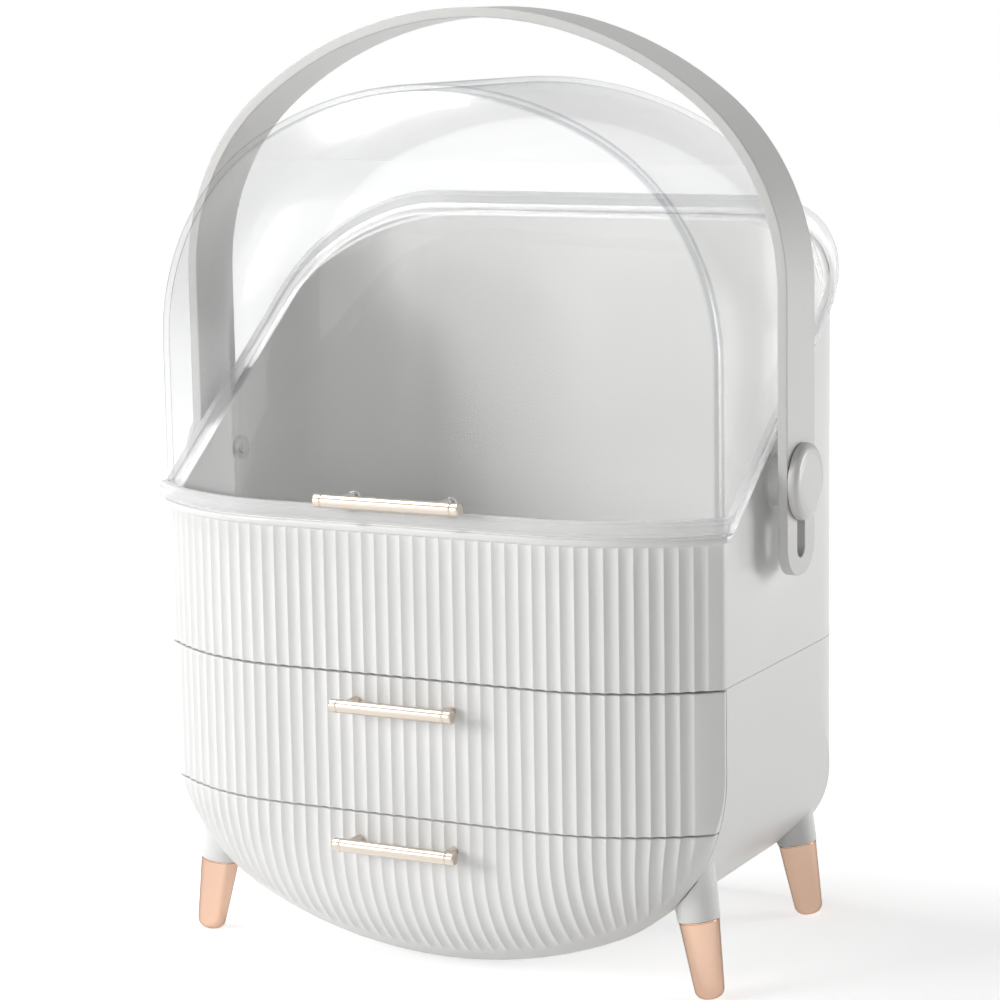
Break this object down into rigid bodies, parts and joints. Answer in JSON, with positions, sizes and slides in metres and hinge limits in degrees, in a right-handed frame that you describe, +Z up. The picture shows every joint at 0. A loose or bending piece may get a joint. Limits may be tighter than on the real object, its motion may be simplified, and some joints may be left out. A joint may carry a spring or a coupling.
{
  "type": "cosmetics organizer",
  "caption": "Round-bottomed cosmetics organizer on splayed feet with reeded bowed drawers, a reeded open tray, a clear hinged dust cover and a swinging carrying handle.",
  "frame": {"origin": "on the ground, in the middle of the bounding box", "axes": "+X to the right side, +Y to the back, +Z up; the drawers open towards -Y"},
  "size_m": [0.314, 0.221, 0.4305],
  "materials": {
    "body_plastic": "satin white moulded plastic",
    "inner_plastic": "white moulded plastic",
    "handle_plastic": "satin off-white plastic",
    "clear_plastic": "clear transparent plastic",
    "pull_metal": "pale champagne gold, polished",
    "foot_tip_metal": "satin copper rose gold",
    "steel": "plain bright steel"
  },
  "bodies": {
    "body": {"casing": "body_plastic", "divider_shelf": "inner_plastic", "upper_tray": "body_plastic", "tray_screws": "steel", "front_left_foot_tip": "foot_tip_metal", "front_right_foot_tip": "foot_tip_metal", "rear_left_foot_tip": "foot_tip_metal", "rear_right_foot_tip": "foot_tip_metal", "left_hinge_pin": "steel", "right_hinge_pin": "steel"},
    "drawer_1": {"drawer_1_box": "inner_plastic", "drawer_1_front": "body_plastic", "drawer_1_front_screws": "steel", "drawer_1_pull": "pull_metal", "drawer_1_pull_screws": "steel"},
    "drawer_2": {"drawer_2_box": "inner_plastic", "drawer_2_front": "body_plastic", "drawer_2_front_screws": "steel", "drawer_2_pull": "pull_metal", "drawer_2_pull_screws": "steel"},
    "cover": {"lid_cover": "clear_plastic", "lid_bar": "pull_metal", "lid_bar_screws": "steel"},
    "pivots": {"left_pivot_pin": "steel", "right_pivot_pin": "steel", "left_pivot_clip": "steel", "right_pivot_clip": "steel", "left_knob": "handle_plastic", "right_knob": "handle_plastic"},
    "handle": {"handle": "handle_plastic"}
  },
  "joints": [
    {"name": "drawer_1_slide", "type": "slide", "parent": "body", "child": "drawer_1", "axis": [0, -1, 0], "range_m": [0, 0.11]},
    {"name": "drawer_2_slide", "type": "slide", "parent": "body", "child": "drawer_2", "axis": [0, -1, 0], "range_m": [0, 0.11]},
    {"name": "cover_hinge", "type": "hinge", "parent": "body", "child": "cover", "pos_m": [0, 0.1065, 0.32595], "axis": [-1, 0, 0], "range_deg": [0, 80]},
    {"name": "handle_swing", "type": "hinge", "parent": "body", "child": "pivots", "pos_m": [0, -0.0075, 0.2235], "axis": [-1, 0, 0], "range_deg": [0, 120.5]},
    {"name": "handle_lift", "type": "slide", "parent": "pivots", "child": "handle", "axis": [0, 0, 1], "range_m": [0, 0.0281]}
  ],
  "couplings": [
    {"joint": "handle_swing", "follows": "cover_hinge", "ratio": 1.5},
    {"joint": "handle_lift", "follows": "cover_hinge", "m_per_rad": 0.02}
  ]
}
